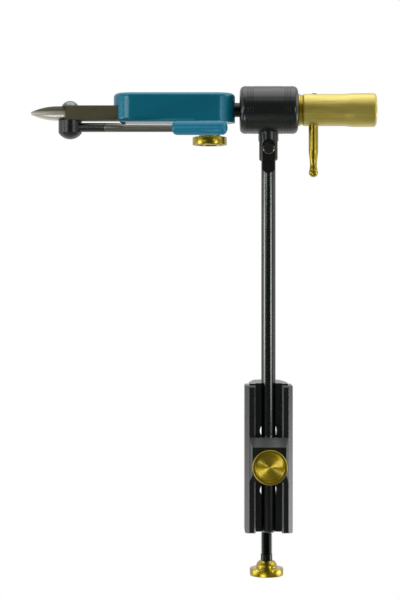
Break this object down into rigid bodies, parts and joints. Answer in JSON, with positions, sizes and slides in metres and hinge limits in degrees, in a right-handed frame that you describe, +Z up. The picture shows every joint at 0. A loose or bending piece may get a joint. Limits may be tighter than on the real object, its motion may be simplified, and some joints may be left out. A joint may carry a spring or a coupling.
{
  "type": "fly tying vise",
  "caption": "Rotary fly tying vise: table clamp, upright stem, tilting bearing hub, brass handle, and a head with cam-opened jaws.",
  "frame": {"origin": "on the table face of the clamp's upper arm, on the clamp screw's axis", "axes": "+Z up along the stem, +X from the jaws to the handle, +Y from the clamp's front towards the table"},
  "size_m": [0.2297, 0.0905, 0.3314],
  "materials": {
    "black_anodised": "satin black anodised aluminium",
    "blackened_steel": "black oxide steel",
    "brass": "turned and polished brass",
    "teal_anodised": "satin teal anodised aluminium",
    "teal_dip": "smooth dipped vinyl",
    "jaw_steel": "hardened steel, oxide brown with a polished nose",
    "bare_steel": "bare ground steel"
  },
  "bodies": {
    "clamp": {"clamp_body": "black_anodised"},
    "lock_tip_slide": {"lock_tip": "brass"},
    "lock_screw_turn": {"lock_screw": "blackened_steel", "lock_knob": "brass"},
    "pad": {"swivel_pad": "blackened_steel"},
    "clamp_screw_turn": {"clamp_screw": "blackened_steel", "screw_collar": "blackened_steel", "screw_knob": "brass"},
    "stem": {"stem": "blackened_steel"},
    "hub": {"hub_housing": "black_anodised", "hub_clevis": "black_anodised", "pivot_screw": "blackened_steel", "pivot_nut": "blackened_steel", "pivot_washers": "brass", "bearing_outer_rings": "bare_steel", "bearing_balls": "bare_steel", "snap_rings": "blackened_steel"},
    "rotor": {"rotor_shaft": "blackened_steel", "bearing_inner_rings": "bare_steel", "bearing_spacer": "bare_steel", "shaft_clip": "blackened_steel", "thrust_washer": "brass", "disc_springs": "brass", "handle_sleeve": "brass", "sleeve_set_screw": "blackened_steel", "crank_lever": "brass"},
    "head": {"head_body": "teal_anodised", "jaw_pins": "bare_steel", "jaw_spring": "bare_steel"},
    "head_lock": {"head_knob": "brass", "head_screw": "blackened_steel"},
    "jaw_front": {"jaw_front": "jaw_steel"},
    "jaw_rear": {"jaw_rear": "jaw_steel"},
    "lever": {"cam_post": "blackened_steel", "cam_cap": "blackened_steel", "lever_boss": "black_anodised", "lever_rod": "bare_steel", "lever_grip": "teal_dip"}
  },
  "joints": [
    {"name": "stem_height", "type": "slide", "parent": "clamp", "child": "stem", "axis": [0, 0, 1], "range_m": [-0.11, 0.03]},
    {"name": "hub_tilt", "type": "hinge", "parent": "stem", "child": "hub", "pos_m": [0, -0.034, 0.1699], "axis": [0, 1, 0], "range_deg": [-45, 35]},
    {"name": "rotor_spin", "type": "hinge", "parent": "hub", "child": "rotor", "pos_m": [0, -0.034, 0.1959], "axis": [1, 0, 0], "continuous": true},
    {"name": "head_slide", "type": "slide", "parent": "rotor", "child": "head", "axis": [1, 0, 0], "range_m": [-0.012, 0.0024]},
    {"name": "head_screw_turn", "type": "hinge", "parent": "head", "child": "head_lock", "pos_m": [-0.0391, -0.034, 0.18], "axis": [0, 0, 1], "range_deg": [-180, 0]},
    {"name": "lever_squeeze", "type": "hinge", "parent": "head", "child": "lever", "pos_m": [-0.132, -0.034, 0.18425], "axis": [0, 0, 1], "range_deg": [0, 12]},
    {"name": "jaw_front_hinge", "type": "hinge", "parent": "head", "child": "jaw_front", "pos_m": [-0.07, -0.03797, 0.1936], "axis": [0, 0, 1], "range_deg": [0, 0.5]},
    {"name": "jaw_rear_hinge", "type": "hinge", "parent": "head", "child": "jaw_rear", "pos_m": [-0.07, -0.03003, 0.1936], "axis": [0, 0, -1], "range_deg": [0, 0.5]},
    {"name": "lock_travel", "type": "slide", "parent": "clamp", "child": "lock_tip_slide", "axis": [0, -1, 0], "range_m": [0, 0.003]},
    {"name": "lock_turn", "type": "hinge", "parent": "lock_tip_slide", "child": "lock_screw_turn", "pos_m": [0, -0.034, -0.0394], "axis": [0, -1, 0], "range_deg": [0, 880]},
    {"name": "pad_travel", "type": "slide", "parent": "clamp", "child": "pad", "axis": [0, 0, 1], "range_m": [-0.033, 0.02]},
    {"name": "clamp_turn", "type": "hinge", "parent": "pad", "child": "clamp_screw_turn", "pos_m": [0, 0, -0.06], "axis": [0, 0, 1], "range_deg": [-8500, 5200]}
  ],
  "couplings": [
    {"joint": "jaw_front_hinge", "follows": "lever_squeeze", "ratio": 0.041},
    {"joint": "jaw_rear_hinge", "follows": "lever_squeeze", "ratio": 0.041},
    {"joint": "lock_turn", "follows": "lock_travel", "rad_per_m": 4947.4},
    {"joint": "clamp_turn", "follows": "pad_travel", "rad_per_m": 4452.6}
  ]
}
